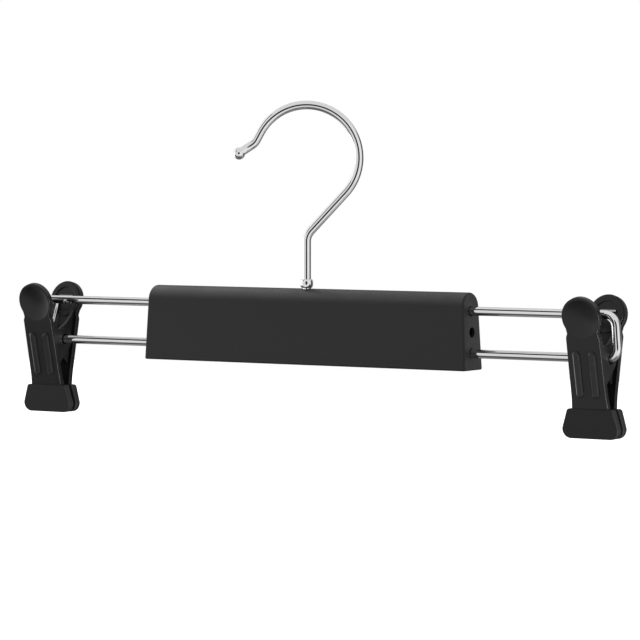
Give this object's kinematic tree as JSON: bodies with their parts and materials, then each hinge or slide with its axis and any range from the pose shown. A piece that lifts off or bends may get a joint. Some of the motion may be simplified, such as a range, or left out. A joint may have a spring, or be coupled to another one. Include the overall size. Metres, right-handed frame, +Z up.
{
  "type": "trouser hanger",
  "caption": "Trouser hanger: moulded bar with a swivel wire hook and bent wire rods carrying sliding spring clips that grip a waistband.",
  "frame": {"origin": "inner top of the hook's arc, where it rests on a rail", "axes": "+X along the hanger, +Y to its back, +Z up"},
  "size_m": [0.3256, 0.0353, 0.1498],
  "materials": {
    "body_plastic": "matte",
    "clip_plastic": "satin",
    "jaw_rubber": "satin",
    "chrome": "polished",
    "spring_steel": "bright"
  },
  "bodies": {
    "hook_body": {"hook": "chrome", "hook_bead": "chrome", "hook_washer": "spring_steel"},
    "hanger": {"body_shell": "body_plastic", "left_rod": "chrome", "right_rod": "chrome"},
    "left_clip": {"left_spring": "spring_steel"},
    "left_front": {"left_front_lever": "clip_plastic", "left_front_jaw": "jaw_rubber"},
    "left_rear": {"left_rear_lever": "clip_plastic", "left_rear_jaw": "jaw_rubber"},
    "right_clip": {"right_spring": "spring_steel"},
    "right_front": {"right_front_lever": "clip_plastic", "right_front_jaw": "jaw_rubber"},
    "right_rear": {"right_rear_lever": "clip_plastic", "right_rear_jaw": "jaw_rubber"}
  },
  "joints": [
    {"name": "hook_swivel", "type": "hinge", "parent": "hook_body", "child": "hanger", "pos_m": [0, 0, -0.0828], "axis": [0, 0, 1], "continuous": true},
    {"name": "left_slide", "type": "slide", "parent": "hanger", "child": "left_clip", "axis": [1, 0, 0], "range_m": [0, 0.05]},
    {"name": "left_front_pivot", "type": "hinge", "parent": "left_clip", "child": "left_front", "pos_m": [-0.1477, 0, -0.11035], "axis": [-1, 0, 0], "range_deg": [0, 22], "stiffness_Nm_per_rad": 0.25, "springref_deg": -34.38, "deforming": ["left_spring"]},
    {"name": "left_rear_pivot", "type": "hinge", "parent": "left_clip", "child": "left_rear", "pos_m": [-0.1477, 0, -0.11035], "axis": [1, 0, 0], "range_deg": [0, 22], "stiffness_Nm_per_rad": 0.25, "springref_deg": -34.38, "deforming": ["left_spring"]},
    {"name": "right_slide", "type": "slide", "parent": "hanger", "child": "right_clip", "axis": [-1, 0, 0], "range_m": [0, 0.05]},
    {"name": "right_front_pivot", "type": "hinge", "parent": "right_clip", "child": "right_front", "pos_m": [0.1503, 0, -0.11035], "axis": [-1, 0, 0], "range_deg": [0, 22], "stiffness_Nm_per_rad": 0.25, "springref_deg": -34.38, "deforming": ["right_spring"]},
    {"name": "right_rear_pivot", "type": "hinge", "parent": "right_clip", "child": "right_rear", "pos_m": [0.1503, 0, -0.11035], "axis": [1, 0, 0], "range_deg": [0, 22], "stiffness_Nm_per_rad": 0.25, "springref_deg": -34.38, "deforming": ["right_spring"]}
  ]
}
